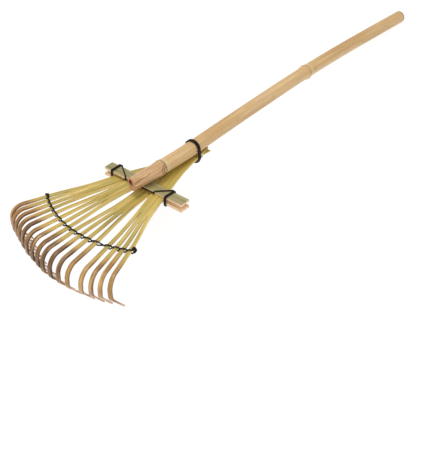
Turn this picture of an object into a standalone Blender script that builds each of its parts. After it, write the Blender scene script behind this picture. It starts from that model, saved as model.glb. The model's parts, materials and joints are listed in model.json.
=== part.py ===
"""A bamboo leaf rake with sixteen tines, built the way a rake maker builds it.

Four split bamboo blades lie side by side between two crossbar slats and run together
into a stack under the handle. Each blade is slit into four tines, whose ends are bent
down into hooks. A neck ring ties the stack to the handle, a lashing clamps the slats,
and a pair of twisted strands keeps the tines apart.

Every piece is laid out in the plane of the fan: +X along the crossbar, +Y towards the
far end of the handle and Z up from the middle of the blades. One empty, rest_frame,
then tips that plane until the outer tine tips and the far end of the handle touch Z = 0.
"""

import math

import bmesh
import bpy
from mathutils import Matrix, Vector

MM = 0.001
FIT_GAP = 0.3 * MM  # clearance between pieces that touch

# Handle: a bent bamboo culm, solid but for the open hollow at each end.
HANDLE_NEAR_Y = -22 * MM
HANDLE_FAR_Y = 804 * MM
HANDLE_AXIS_Z = 20.5 * MM
CULM_RADIUS = 12.5 * MM
CULM_SIDES_RESOLUTION = 6  # gives 16 sides
STATION_STEP = 45 * MM
END_EASE = 1 * MM
CULM_BOW = ((-22, 6.5), (43, 9), (120, 9.5), (200, 6.5), (330, 2.7), (465, 0), (600, 1.8), (806, 10))
NODE_Y = (44 * MM, 467 * MM)  # where the culm's two nodes stand out
NODE_PROFILE = ((-20, 0.0), (-11, 0.5), (-4, 1.4), (0, 2.0), (1.5, 1.1), (5, 0.8), (14, 0.0))
NODE_SWELL = (0.6, 1.0)  # share of the profile that each node has
NODE_REACH = 20 * MM
HOLLOW_RADIUS = 3.8 * MM
HOLLOW_OFFSET = Vector((-3, 0, 2.5)) * MM
HOLLOW_SIDES = 16
NEAR_HOLLOW_DEPTH = 58 * MM  # as far as the first node
FAR_HOLLOW_DEPTH = 300 * MM

# Blades: their centre lines at the neck and at the crossbar, and how they fan out.
BLADE_THICKNESS = 2.8 * MM
BLADE_PITCH_Z = BLADE_THICKNESS + FIT_GAP + 0.05 * MM
NECK_Y = 130 * MM
BLADE_END_Y = (136 * MM, 157 * MM, 139 * MM, 159 * MM)
NECK_X = (6 * MM, 8.5 * MM, 10 * MM, 11.5 * MM)
NECK_SLOPE = (0.28, 0.15, 0.0, -0.19)
BAR_X = (-39.8 * MM, -12.4 * MM, 13.2 * MM, 41 * MM)
BLADE_ANGLE = tuple(math.radians(a) for a in (-17.5, -7.5, 5.0, 18.0))
NECK_LAYER = (3, 1, 2, 0)  # place in the stack under the handle, 0 on top
BAR_LEVEL = (-1, 1, -1, 1)  # blades 2 and 4 ride over blades 1 and 3 in the crossbar
NECK_WIDTH = 20 * MM
BAR_WIDTH = 25.4 * MM
SPLIT_WIDTH = 26.6 * MM
SPLIT_Y = -30 * MM
SPLIT_ROWS = 7  # steps from the split to the spreader wire
STACKED_Y = 82 * MM  # the blades lie flat in the stack from here to their ends
BAR_BACK_Y = 23.5 * MM  # and rise towards it from here, behind the slats
WHOLE_Y = (NECK_Y, 105 * MM, STACKED_Y, 68 * MM, 54 * MM, 40 * MM, BAR_BACK_Y, 0, -16 * MM)

# Tines: where each one crosses the spreader wire, and its hook.
TINES_PER_BLADE = 4
TINE_X = (-91, -82, -72, -61.5, -49.5, -36, -22.5, -8.5, 4, 18.5, 33, 48, 68, 80, 90, 100)
WIRE_ARC_X = 15.5 * MM
WIRE_ARC_Y = -148 * MM
WIRE_ARC_BEND = 3.1  # 1/m, how fast the wire curves back from its foremost point
OUTER_TINE_ANGLE = math.radians(19.5)
TINE_WIDTH = 6.5 * MM
TIP_WIDTH = 5.4 * MM
SLIT_WIDTH = 0.25 * MM
SLIT_ROOT_ROWS = ((2, 1, 2), (2, 1, 2), (2, 3, 2), (1, 3, 2))  # steps past the split
FIRST_REACH = 60.5 * MM  # from the wire to the outside of the bend, at tine 1
LAST_REACH = 73 * MM
BEND_RADIUS = 20 * MM
BEND_ROWS = 6
FIRST_LEG = 11 * MM  # the straight part below the bend, at tine 1
LAST_LEG = 8 * MM
TOE_RADIUS = 14 * MM
TOE_TURN = math.radians(40)
TOE_ROWS = 3
FOOT_LENGTH = 42 * MM
FOOT_ROWS = 3
LAST_TINE_SPLAY = 7 * MM  # how far the last tine's tip leans outward

# Crossbar slats.
SLAT_LENGTH = 163 * MM
SLAT_WIDTH = 20 * MM
SLAT_THICKNESS = 4.5 * MM
SLAT_CENTRE = Vector((7.5, 10.5, 0)) * MM
SLAT_YAW = math.radians(1.5)
SLAT_EDGE = 0.6 * MM
BAR_HALF_GAP = BLADE_PITCH_Z / 2 + BLADE_THICKNESS / 2 + FIT_GAP

# Wires.
TIE_RADIUS = 1.1 * MM
SPREADER_RADIUS = 1.05 * MM
WIRE_SIDES_RESOLUTION = 2  # gives 8 sides
TURN_PITCH = 2 * TIE_RADIUS + FIT_GAP
RING_Y = 124.5 * MM
RING_TURNS = 3
WRAP_TURNS = 3
LEFT_WRAP_X = -59 * MM
RIGHT_WRAP_X = 60 * MM
LEFT_DIVE_X = -26 * MM  # where the lashing drops in front of the slats
RIGHT_DIVE_X = 33 * MM
FRONT_RUN_Z = 5.6 * MM
EYE_RADIUS = 2.4 * MM  # the bight of the wire outside tine 1
TAIL_CURL = 3 * MM
TAIL_OPENING = 0.3 * MM  # how far each step of the curl moves outwards
TAIL_TURN = 2.3  # radians
TAIL_TWISTS = 1.5

MATERIALS = {
    "culm": ((0.56, 0.39, 0.22), 0.5, 0.0),
    "blade": ((0.45, 0.37, 0.16), 0.5, 0.0),
    "slat": ((0.47, 0.42, 0.26), 0.55, 0.0),
    "black_wire": ((0.03, 0.028, 0.025), 0.45, 0.6),
}


def clear_scene():
    for obj in list(bpy.data.objects):
        bpy.data.objects.remove(obj, do_unlink=True)


def new_collection(name):
    collection = bpy.data.collections.new(name)
    bpy.context.scene.collection.children.link(collection)
    return collection


def make_material(name):
    colour, roughness, metallic = MATERIALS[name]
    material = bpy.data.materials.new(name)
    material.use_nodes = True
    shader = material.node_tree.nodes["Principled BSDF"]
    shader.inputs["Base Color"].default_value = (*colour, 1)
    shader.inputs["Roughness"].default_value = roughness
    shader.inputs["Metallic"].default_value = metallic
    return material


def ease(t):
    """0 to 1 with a level start and end."""
    t = min(max(t, 0), 1)
    return t * t * (3 - 2 * t)


def hermite(a, b, slope_a, slope_b, t):
    """A cubic from a to b, whose end slopes are per unit of t."""
    return (
        (2 * t**3 - 3 * t**2 + 1) * a
        + (t**3 - 2 * t**2 + t) * slope_a
        + (3 * t**2 - 2 * t**3) * b
        + (t**3 - t**2) * slope_b
    )


def through(points, at):
    """The smooth height at one place along (place, height) points."""
    for i in range(len(points) - 1):
        if at <= points[i + 1][0] or i == len(points) - 2:
            break
    (x0, y0), (x1, y1) = points[i], points[i + 1]
    before = points[max(i - 1, 0)]
    after = points[min(i + 2, len(points) - 1)]
    slope_0 = (y1 - before[1]) / (x1 - before[0])
    slope_1 = (after[1] - y0) / (after[0] - x0)
    t = min(max((at - x0) / (x1 - x0), 0), 1)
    return hermite(y0, y1, slope_0 * (x1 - x0), slope_1 * (x1 - x0), t)


# ---- handle -----------------------------------------------------------------


def culm_x(y):
    """How far the bent culm stands to the side at y."""
    return through([(py * MM, px * MM) for py, px in CULM_BOW], y)


def culm_radius(y):
    """The culm's radius at y, with its nodes and its eased ends."""
    radius = CULM_RADIUS
    for node, swell in zip(NODE_Y, NODE_SWELL):
        if abs(y - node) <= NODE_REACH:
            profile = [(node + a * MM, b * MM) for a, b in NODE_PROFILE]
            radius += swell * max(0, through(profile, y))
    return radius


def culm_stations():
    """Places along the handle: evenly spread, with more at the ends and nodes."""
    stations = {HANDLE_NEAR_Y, HANDLE_NEAR_Y + END_EASE, HANDLE_FAR_Y - END_EASE, HANDLE_FAR_Y}
    for node in NODE_Y:
        stations |= {node + a * MM for a, _ in NODE_PROFILE}
    y = HANDLE_NEAR_Y + STATION_STEP / 2
    while y < HANDLE_FAR_Y - STATION_STEP / 2:
        if all(abs(y - s) > NODE_REACH for s in stations):
            stations.add(y)
        y += STATION_STEP / 2 if y < NECK_Y else STATION_STEP
    return sorted(stations)


def end_ease(y):
    """Shrinks the first and last rings a little, so both cut ends have an eased rim."""
    return 0.95 if y in (HANDLE_NEAR_Y, HANDLE_FAR_Y) else 1


def curve_object(name, points, radius, resolution, factors=None, cyclic=False):
    """A round bar along the points, as a POLY curve with a bevel and filled caps."""
    curve = bpy.data.curves.new(name, "CURVE")
    curve.dimensions = "3D"
    curve.bevel_depth = radius
    curve.bevel_resolution = resolution
    curve.use_fill_caps = True
    spline = curve.splines.new("POLY")
    spline.points.add(len(points) - 1)
    spline.use_cyclic_u = cyclic
    for i, point in enumerate(points):
        spline.points[i].co = (*point, 1)
        if factors:
            spline.points[i].radius = factors[i]
    return bpy.data.objects.new(name, curve)


def curve_to_mesh(obj, collection):
    """The curve's solid as a mesh object with its caps welded on."""
    collection.objects.link(obj)
    graph = bpy.context.evaluated_depsgraph_get()
    mesh = bpy.data.meshes.new_from_object(obj.evaluated_get(graph))
    name = obj.name
    bm = bmesh.new()
    bm.from_mesh(mesh)
    bmesh.ops.remove_doubles(bm, verts=bm.verts, dist=0.01 * MM)
    bmesh.ops.recalc_face_normals(bm, faces=bm.faces)
    bm.to_mesh(mesh)
    bm.free()
    bpy.data.objects.remove(obj, do_unlink=True)
    mesh.name = name
    solid = bpy.data.objects.new(name, mesh)
    collection.objects.link(solid)
    return solid


def hollow_cutter(name, y, depth, collection):
    """A rod along the culm that opens its end at y, as deep as depth (signed)."""
    start = y - math.copysign(5 * MM, depth)
    end = y + depth
    middle = (start + end) / 2
    bpy.ops.mesh.primitive_cylinder_add(
        vertices=HOLLOW_SIDES, radius=HOLLOW_RADIUS, depth=abs(end - start)
    )
    cutter = bpy.context.object
    cutter.name = name
    slope = (culm_x(end) - culm_x(y)) / (end - y)
    cutter.rotation_euler = (math.pi / 2, 0, -math.atan(slope))
    axis_x = culm_x(y) + slope * (middle - y)
    cutter.location = Vector((axis_x, middle, HANDLE_AXIS_Z)) + HOLLOW_OFFSET
    cutter.hide_render = True
    cutter.display_type = "WIRE"
    for owner in list(cutter.users_collection):
        owner.objects.unlink(cutter)
    collection.objects.link(cutter)
    return cutter


def build_handle(parts, cutters):
    stations = culm_stations()
    points = [Vector((culm_x(y), y, HANDLE_AXIS_Z)) for y in stations]
    factors = [culm_radius(y) / CULM_RADIUS * end_ease(y) for y in stations]
    bar = curve_object("handle", points, CULM_RADIUS, CULM_SIDES_RESOLUTION, factors)
    handle = curve_to_mesh(bar, parts)
    near = ("near_hollow", HANDLE_NEAR_Y, NEAR_HOLLOW_DEPTH)
    far = ("far_hollow", HANDLE_FAR_Y, -FAR_HOLLOW_DEPTH)
    for name, y, depth in (near, far):
        cut = handle.modifiers.new(name, "BOOLEAN")
        cut.operation = "DIFFERENCE"
        cut.object = hollow_cutter(name + "_cutter", y, depth, cutters)
    return handle


# ---- blades and tines -------------------------------------------------------


def blade_centre(blade, y):
    """The side position of a blade's centre line at y."""
    slope = -math.tan(BLADE_ANGLE[blade])
    if y <= 0:
        return BAR_X[blade] + slope * y
    if y >= NECK_Y:
        return NECK_X[blade] + NECK_SLOPE[blade] * (y - NECK_Y)
    return hermite(
        BAR_X[blade], NECK_X[blade], slope * NECK_Y, NECK_SLOPE[blade] * NECK_Y, y / NECK_Y
    )


def blade_width(y):
    if y >= 0:
        return BAR_WIDTH + (NECK_WIDTH - BAR_WIDTH) * y / NECK_Y
    return BAR_WIDTH + (SPLIT_WIDTH - BAR_WIDTH) * y / SPLIT_Y


def neck_z(blade):
    """The middle of a blade where it lies in the stack under the handle."""
    top = HANDLE_AXIS_Z - CULM_RADIUS - FIT_GAP - BLADE_THICKNESS / 2
    return top - NECK_LAYER[blade] * BLADE_PITCH_Z


def bar_z(blade):
    return BAR_LEVEL[blade] * BLADE_PITCH_Z / 2


def blade_z(blade, y):
    t = ease((y - BAR_BACK_Y) / (STACKED_Y - BAR_BACK_Y))
    return bar_z(blade) + (neck_z(blade) - bar_z(blade)) * t


def wire_y(x):
    """The spreader wire bows forward between the outer tines."""
    return WIRE_ARC_Y + WIRE_ARC_BEND * (x - WIRE_ARC_X) ** 2


def tine_angle(tine):
    """How far a tine points outward, from straight ahead."""
    return OUTER_TINE_ANGLE * (2 * tine / (len(TINE_X) - 1) - 1)


def tine_crossing(tine):
    """Where a tine crosses the spreader wire."""
    x = TINE_X[tine] * MM
    return Vector((x, wire_y(x), 0))


def hook_profile(tine):
    """(distance past the wire, height, width) down a tine to its tip."""
    later = ease((tine - 4) / 9)
    reach = FIRST_REACH + (LAST_REACH - FIRST_REACH) * later
    bend_start = reach - BEND_RADIUS
    rows = [(bend_start * t, 0, TINE_WIDTH) for t in (0.3, 0.65, 1)]
    for i in range(1, BEND_ROWS + 1):
        turn = math.pi / 2 * i / BEND_ROWS
        past = bend_start + BEND_RADIUS * math.sin(turn)
        rows.append((past, -BEND_RADIUS * (1 - math.cos(turn)), TINE_WIDTH))
    leg_end = -BEND_RADIUS - FIRST_LEG - (LAST_LEG - FIRST_LEG) * later
    for i in range(TOE_ROWS + 1):
        turn = TOE_TURN * i / TOE_ROWS
        past = reach - TOE_RADIUS * (1 - math.cos(turn))
        rows.append((past, leg_end - TOE_RADIUS * math.sin(turn), TINE_WIDTH))
    past, height, _ = rows[-1]
    for i in range(1, FOOT_ROWS + 1):
        run = FOOT_LENGTH * i / FOOT_ROWS
        width = TINE_WIDTH + (TIP_WIDTH - TINE_WIDTH) * i / FOOT_ROWS
        rows.append((past - run * math.sin(TOE_TURN), height - run * math.cos(TOE_TURN), width))
    return rows


def blade_rows(blade):
    """Rows from the neck to the tips: each is four (left point, right point) pairs."""
    rows = []
    for y in (BLADE_END_Y[blade], *WHOLE_Y, SPLIT_Y):
        pitch = blade_width(y) / TINES_PER_BLADE
        row = []
        for j in range(TINES_PER_BLADE):
            x = blade_centre(blade, y) + (j - 1.5) * pitch
            half = Vector(((pitch - SLIT_WIDTH) / 2, 0, 0))
            centre = Vector((x, y, blade_z(blade, y)))
            row.append((centre - half, centre + half))
        rows.append(row)
    for i in range(1, SPLIT_ROWS + 1):
        rows.append([tine_row(blade, j, i / SPLIT_ROWS) for j in range(TINES_PER_BLADE)])
    hooks = [hook_rows(blade * TINES_PER_BLADE + j) for j in range(TINES_PER_BLADE)]
    rows += [list(row) for row in zip(*hooks)]
    return rows


def tine_row(blade, j, t):
    """One tine's edges at t of the way from the split to the spreader wire."""
    tine = blade * TINES_PER_BLADE + j
    pitch = SPLIT_WIDTH / TINES_PER_BLADE
    start = Vector((blade_centre(blade, SPLIT_Y) + (j - 1.5) * pitch, SPLIT_Y, bar_z(blade)))
    end = tine_crossing(tine)
    length = (end - start).length
    widening = (j - 1.5) * (SPLIT_WIDTH - BAR_WIDTH) / TINES_PER_BLADE / SPLIT_Y
    first = Vector((math.tan(BLADE_ANGLE[blade]) - widening, -1, 0)).normalized() * length
    angle = tine_angle(tine)
    last = Vector((math.sin(angle), -math.cos(angle), 0)) * length
    centre = hermite(start, end, first, last, t)
    first_width = pitch - SLIT_WIDTH
    half_width = (first_width + (TINE_WIDTH - first_width) * t) / 2
    turned = angle * ease(t)
    half = Vector((math.cos(turned), math.sin(turned), 0)) * half_width
    return centre - half, centre + half


def hook_rows(tine):
    """A tine's edges from the spreader wire to its tip."""
    angle = tine_angle(tine)
    ahead = Vector((math.sin(angle), -math.cos(angle), 0))
    across = Vector((math.cos(angle), math.sin(angle), 0))
    base = tine_crossing(tine)
    profile = hook_profile(tine)
    splay = LAST_TINE_SPLAY if tine == len(TINE_X) - 1 else 0
    pairs = []
    for past, height, width in profile:
        centre = base + ahead * past + Vector((0, 0, height))
        centre += across * splay * (height / profile[-1][1]) ** 2
        pairs.append((centre - across * width / 2, centre + across * width / 2))
    return pairs


def build_blade(blade, collection):
    """A flat grid, four tines and three slits wide, laid along the blade and thickened."""
    rows = blade_rows(blade)
    columns = 2 * TINES_PER_BLADE - 1
    bm = bmesh.new()
    bmesh.ops.create_grid(bm, x_segments=columns, y_segments=len(rows) - 1, size=1)
    verts = sorted(bm.verts, key=lambda v: (round(-v.co.y, 6), round(v.co.x, 6)))
    slit_faces = set(bm.faces)
    for r, row in enumerate(rows):
        flat = [point for pair in row for point in pair]
        for c, point in enumerate(flat):
            verts[r * (columns + 1) + c].co = point
    index = {v: i for i, v in enumerate(verts)}
    split_row = len(WHOLE_Y) + 1
    for face in list(bm.faces):
        row = min(index[v] for v in face.verts) // (columns + 1)
        column = min(index[v] % (columns + 1) for v in face.verts)
        in_slit = column % 2 == 1
        root = split_row + SLIT_ROOT_ROWS[blade][column // 2] if in_slit else 0
        if not in_slit or row < root:
            slit_faces.discard(face)
    bmesh.ops.delete(bm, geom=list(slit_faces), context="FACES")
    bmesh.ops.recalc_face_normals(bm, faces=bm.faces)
    mesh = bpy.data.meshes.new(f"blade_{blade + 1}")
    bm.to_mesh(mesh)
    bm.free()
    obj = bpy.data.objects.new(f"blade_{blade + 1}", mesh)
    collection.objects.link(obj)
    thick = obj.modifiers.new("thickness", "SOLIDIFY")
    thick.thickness = BLADE_THICKNESS
    thick.offset = 0
    thick.use_even_offset = True
    return obj


# ---- crossbar ---------------------------------------------------------------


def build_slat(name, side, collection):
    """One crossbar slat, above (side 1) or below (side -1) the blades."""
    bm = bmesh.new()
    bmesh.ops.create_cube(bm, size=1)
    bmesh.ops.scale(bm, vec=(SLAT_LENGTH, SLAT_WIDTH, SLAT_THICKNESS), verts=bm.verts)
    mesh = bpy.data.meshes.new(name)
    bm.to_mesh(mesh)
    bm.free()
    slat = bpy.data.objects.new(name, mesh)
    slat.location = SLAT_CENTRE + Vector((0, 0, side * (BAR_HALF_GAP + SLAT_THICKNESS / 2)))
    slat.rotation_euler = (0, 0, SLAT_YAW)
    collection.objects.link(slat)
    edge = slat.modifiers.new("edges", "BEVEL")
    edge.width = SLAT_EDGE
    edge.segments = 1
    return slat


# ---- wires ------------------------------------------------------------------


def convex_outline(points):
    """The convex hull of 2D points, anticlockwise."""
    points = sorted(set(points))
    halves = []
    for ordered in (points, points[::-1]):
        half = []
        for p in ordered:
            while len(half) > 1:
                (ax, ay), (bx, by) = half[-2], half[-1]
                if (bx - ax) * (p[1] - ay) - (by - ay) * (p[0] - ax) > 0:
                    break
                half.pop()
            half.append(p)
        halves.append(half[:-1])
    return halves[0] + halves[1]


def taut_loop(discs, spacing):
    """A wire pulled tight around discs (x, z, radius): its points, anticlockwise."""
    corners = []
    for x, z, radius in discs:
        for i in range(36):
            a = math.tau * i / 36
            corners.append((x + radius * math.cos(a), z + radius * math.sin(a)))
    hull = convex_outline(corners)
    loop = []
    for i, (x0, z0) in enumerate(hull):
        x1, z1 = hull[(i + 1) % len(hull)]
        if loop and math.dist(loop[-1], (x0, z0)) < spacing * 0.6:
            continue
        loop.append((x0, z0))
        steps = int(math.dist((x0, z0), (x1, z1)) / (3 * spacing))
        loop += [
            (x0 + (x1 - x0) * s / (steps + 1), z0 + (z1 - z0) * s / (steps + 1))
            for s in range(1, steps + 1)
        ]
    return loop


def starting_at(loop, x, z):
    """The same loop, begun at its point nearest to x, z."""
    nearest = min(range(len(loop)), key=lambda i: math.dist(loop[i], (x, z)))
    return loop[nearest:] + loop[:nearest]


def build_neck_ring(collection):
    """Two turns of wire round the handle and the stack of blades."""
    away = TIE_RADIUS + FIT_GAP
    axis_x = culm_x(RING_Y)
    discs = [(axis_x, HANDLE_AXIS_Z, CULM_RADIUS + away + 0.2 * MM)]
    for blade in range(len(NECK_X)):
        centre = blade_centre(blade, RING_Y)
        half = blade_width(RING_Y) / 2 + 1.0 * MM
        for side in (-1, 1):
            for face in (-1, 1):
                z = neck_z(blade) + face * BLADE_THICKNESS / 2
                discs.append((centre + side * half, z, away))
    loop = starting_at(taut_loop(discs, 2.6 * MM), axis_x, -20 * MM)
    count = len(loop) * RING_TURNS
    points = []
    for i in range(count):
        x, z = loop[i % len(loop)]
        points.append(Vector((x, RING_Y + TURN_PITCH * (i / len(loop) - RING_TURNS / 2), z)))
    ring = curve_object("neck_ring", points, TIE_RADIUS, WIRE_SIDES_RESOLUTION)
    collection.objects.link(ring)
    return ring


def slat_edge_y(x, side):
    """The front (side -1) or back (side 1) edge of the slats at x."""
    return SLAT_CENTRE.y + (x - SLAT_CENTRE.x) * math.tan(SLAT_YAW) + side * SLAT_WIDTH / 2


def wrap_points(x, turn_step):
    """Turns of wire round both slats from their underside, along X, to their back top edge."""
    away = TIE_RADIUS + FIT_GAP
    outer_z = BAR_HALF_GAP + SLAT_THICKNESS
    discs = []
    for side in (-1, 1):
        for face in (-1, 1):
            corner_y = slat_edge_y(x, side) - side * SLAT_EDGE
            discs.append((corner_y, face * (outer_z - SLAT_EDGE), away + SLAT_EDGE))
    loop = taut_loop(discs, 1.6 * MM)
    corner = (slat_edge_y(x, 1), outer_z + away)
    loop = starting_at(loop, slat_edge_y(x, 0), -outer_z - away)
    leave = min(range(len(loop)), key=lambda i: math.dist(loop[i], corner))
    count = len(loop) * (WRAP_TURNS - 1) + leave + 1
    return [
        Vector((x + turn_step * i / len(loop), *loop[i % len(loop)])) for i in range(count)
    ]


def dive_points(x, lead):
    """The wire's way over the front top edge of the slats at x and down to its front run."""
    away = TIE_RADIUS + FIT_GAP
    outer_z = BAR_HALF_GAP + SLAT_THICKNESS
    edge = slat_edge_y(x, -1)
    inner_x = x - lead * 2 * MM
    return [
        Vector((x + lead * 3 * MM, edge + 1.4 * MM, outer_z + away)),
        Vector((x + lead * 1.2 * MM, edge - 0.7 * MM, outer_z + 0.7 * MM)),
        Vector((x, edge - away - 0.1 * MM, FRONT_RUN_Z + 0.6 * MM)),
        Vector((inner_x, slat_edge_y(inner_x, -1) - away - 0.1 * MM, FRONT_RUN_Z)),
    ]


def build_lashing(collection):
    """One wire: a wrap at each end of the slats, joined over the top and along the front."""
    left = wrap_points(LEFT_WRAP_X, TURN_PITCH) + dive_points(LEFT_DIVE_X, -1)
    right = wrap_points(RIGHT_WRAP_X, -TURN_PITCH) + dive_points(RIGHT_DIVE_X, 1)
    lashing = curve_object("crossbar_lashing", left + right[::-1], TIE_RADIUS, WIRE_SIDES_RESOLUTION)
    collection.objects.link(lashing)
    return lashing


def spreader_frame(tine):
    """(crossing, unit vector along the wire, unit vector across it) at a tine."""
    crossing = tine_crossing(tine)
    slope = 2 * WIRE_ARC_BEND * (crossing.x - WIRE_ARC_X)
    along = Vector((1, slope, 0)).normalized()
    return crossing, along, Vector((-along.y, along.x, 0))


def tine_half_span(tine):
    """Half of a tine's width, measured along the wire that crosses it askew."""
    _, along, _ = spreader_frame(tine)
    angle = tine_angle(tine)
    across = Vector((math.cos(angle), math.sin(angle), 0))
    return TINE_WIDTH / 2 / abs(along.dot(across))


def strand_over(tine, side):
    """A strand's points across a tine, above it (side 1) or below it (side -1)."""
    crossing, along, across = spreader_frame(tine)
    edge = tine_half_span(tine) + 0.25 * MM
    away = SPREADER_RADIUS + FIT_GAP
    shoulder = edge + 0.77 * away
    height = BLADE_THICKNESS / 2
    swing = side * SPREADER_RADIUS
    steps = (
        (-shoulder, height + 0.55 * away, -swing),
        (0.4 * MM - edge, height + away, -0.56 * swing),
        (edge - 0.4 * MM, height + away, 0.56 * swing),
        (shoulder, height + 0.55 * away, swing),
    )
    return [crossing + along * a + across * c + Vector((0, 0, side * b)) for a, b, c in steps]


def strand(first_side):
    """One strand of the spreader from tine 1 to tine 16, over and under in turn."""
    points = []
    side = first_side
    for tine in range(len(TINE_X)):
        points += strand_over(tine, side)
        if tine + 1 < len(TINE_X):
            here, along, across = spreader_frame(tine)
            there, along_next, _ = spreader_frame(tine + 1)
            edge = here + along * tine_half_span(tine)
            next_edge = there - along_next * tine_half_span(tine + 1)
            swing = side * (SPREADER_RADIUS + FIT_GAP / 2)
            points.append((edge + next_edge) / 2 + across * swing)
        side = -side
    return points


def tail(first_side):
    """The twisted end of a strand past tine 16, which curls up and back."""
    last = len(TINE_X) - 1
    crossing, along, across = spreader_frame(last)
    start = crossing + along * (tine_half_span(last) + 3.2 * MM)
    spacing = SPREADER_RADIUS + 0.75 * FIT_GAP
    up = Vector((0, 0, 1))
    points = []
    count = round(8 * TAIL_TWISTS)
    for i in range(count + 1):
        lift = TAIL_TURN * i / count
        outward = along * math.cos(lift) + up * math.sin(lift)
        inward = up * math.cos(lift) - along * math.sin(lift)
        middle = start + along * TAIL_CURL * math.sin(lift) + up * TAIL_CURL * (1 - math.cos(lift))
        middle += outward * TAIL_OPENING * i
        turn = math.tau * TAIL_TWISTS * i / count
        offset = across * math.cos(turn) + inward * math.sin(turn)
        points.append(middle + offset * spacing * first_side)
    return points


def eye():
    """The bight of the wire: a round eye outside tine 1, from above the tine to below it."""
    crossing, along, across = spreader_frame(0)
    centre = crossing - along * (tine_half_span(0) + EYE_RADIUS)
    points = []
    for degrees in (75, 40, 0, -40, -75):
        a = math.radians(degrees)
        points.append(
            centre
            - along * EYE_RADIUS * math.cos(a)
            + Vector((0, 0, EYE_RADIUS * math.sin(a)))
            - across * SPREADER_RADIUS * math.sin(a)
        )
    return points


def build_spreader(collection):
    """One wire bent double round tine 1, its two strands twined past every tine."""
    last_side = 1 if len(TINE_X) % 2 else -1
    upper = strand(1) + tail(last_side)
    lower = strand(-1) + tail(-last_side)
    points = upper[::-1] + eye() + lower
    spreader = curve_object("spreader_wire", points, SPREADER_RADIUS, WIRE_SIDES_RESOLUTION)
    collection.objects.link(spreader)
    return spreader


# ---- assembly ---------------------------------------------------------------


def tip_foot(tine):
    """The lowest point at a tine's tip."""
    left, right = hook_rows(tine)[-1]
    underside = Vector((0, math.cos(TOE_TURN), math.sin(TOE_TURN))) * BLADE_THICKNESS / 2
    return (left + right) / 2 - underside


def resting_turn():
    """The turn that brings both outer tine tips and the far end of the handle to one level."""
    far = Vector((culm_x(HANDLE_FAR_Y), HANDLE_FAR_Y, HANDLE_AXIS_Z - CULM_RADIUS))
    first = tip_foot(0)
    last = tip_foot(len(TINE_X) - 1)
    up = (last - first).cross(far - first)
    return up.rotation_difference(Vector((0, 0, 1))).to_matrix().to_4x4()


def settle(frame, pieces):
    """Moves the frame so that the pieces stand on Z = 0, centred on the origin."""
    bpy.context.view_layer.update()
    graph = bpy.context.evaluated_depsgraph_get()
    points = []
    for piece in pieces:
        evaluated = piece.evaluated_get(graph)
        points += [evaluated.matrix_world @ v.co for v in evaluated.to_mesh().vertices]
        evaluated.to_mesh_clear()
    low = Vector([min(p[i] for p in points) for i in range(3)])
    high = Vector([max(p[i] for p in points) for i in range(3)])
    middle = (low + high) / 2
    frame.matrix_world = Matrix.Translation((-middle.x, -middle.y, -low.z)) @ frame.matrix_world


def main():
    clear_scene()
    rake = new_collection("leaf_rake")
    cutters = new_collection("cutters")
    frame = bpy.data.objects.new("rest_frame", None)
    rake.objects.link(frame)

    handle = build_handle(rake, cutters)
    blades = [build_blade(blade, rake) for blade in range(len(BAR_X))]
    slats = [build_slat("upper_slat", 1, rake), build_slat("lower_slat", -1, rake)]
    wires = [build_neck_ring(rake), build_lashing(rake), build_spreader(rake)]
    pieces = [handle, *blades, *slats, *wires]

    looks = {name: make_material(name) for name in MATERIALS}
    for look, group in (("culm", [handle]), ("blade", blades), ("slat", slats), ("black_wire", wires)):
        for piece in group:
            piece.data.materials.append(looks[look])
    for piece in [*pieces, *cutters.objects]:
        piece.parent = frame
    handle.data.shade_smooth()
    frame.matrix_world = resting_turn()
    settle(frame, pieces)


main()
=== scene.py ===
"""The looks of the bamboo leaf rake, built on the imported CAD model.

Every piece of the CAD model is replaced by a finer one in the same place: a culm with
its nodes and cut ends, split blades with their hooked tines, two slats and three wires.
Shapes are laid out in the plane of the fan, as the CAD part lays them out, and FAN
then takes them to the frame: +X along the crossbar, +Y towards the handle's far end.
"""

import json
import math

import bmesh
import bpy
from mathutils import Matrix, Vector, noise

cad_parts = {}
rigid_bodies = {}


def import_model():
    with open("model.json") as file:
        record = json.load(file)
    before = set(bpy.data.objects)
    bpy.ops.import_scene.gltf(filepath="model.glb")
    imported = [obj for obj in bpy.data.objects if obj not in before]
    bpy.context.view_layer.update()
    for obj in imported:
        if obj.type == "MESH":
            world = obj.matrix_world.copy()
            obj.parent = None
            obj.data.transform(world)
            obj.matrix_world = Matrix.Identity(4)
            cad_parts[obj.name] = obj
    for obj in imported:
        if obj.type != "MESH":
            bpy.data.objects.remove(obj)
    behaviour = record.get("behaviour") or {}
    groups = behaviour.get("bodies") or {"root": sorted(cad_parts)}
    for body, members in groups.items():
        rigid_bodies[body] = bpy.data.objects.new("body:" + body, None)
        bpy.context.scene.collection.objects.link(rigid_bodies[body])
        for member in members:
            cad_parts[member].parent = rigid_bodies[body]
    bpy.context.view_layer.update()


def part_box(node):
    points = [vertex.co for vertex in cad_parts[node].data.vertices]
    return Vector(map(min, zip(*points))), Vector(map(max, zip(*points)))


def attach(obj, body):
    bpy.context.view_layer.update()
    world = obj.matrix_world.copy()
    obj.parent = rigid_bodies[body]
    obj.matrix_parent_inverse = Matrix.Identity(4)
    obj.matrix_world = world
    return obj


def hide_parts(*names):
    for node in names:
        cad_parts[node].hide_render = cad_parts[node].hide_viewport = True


MM = 0.001
FIT_GAP = 0.3 * MM

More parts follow.
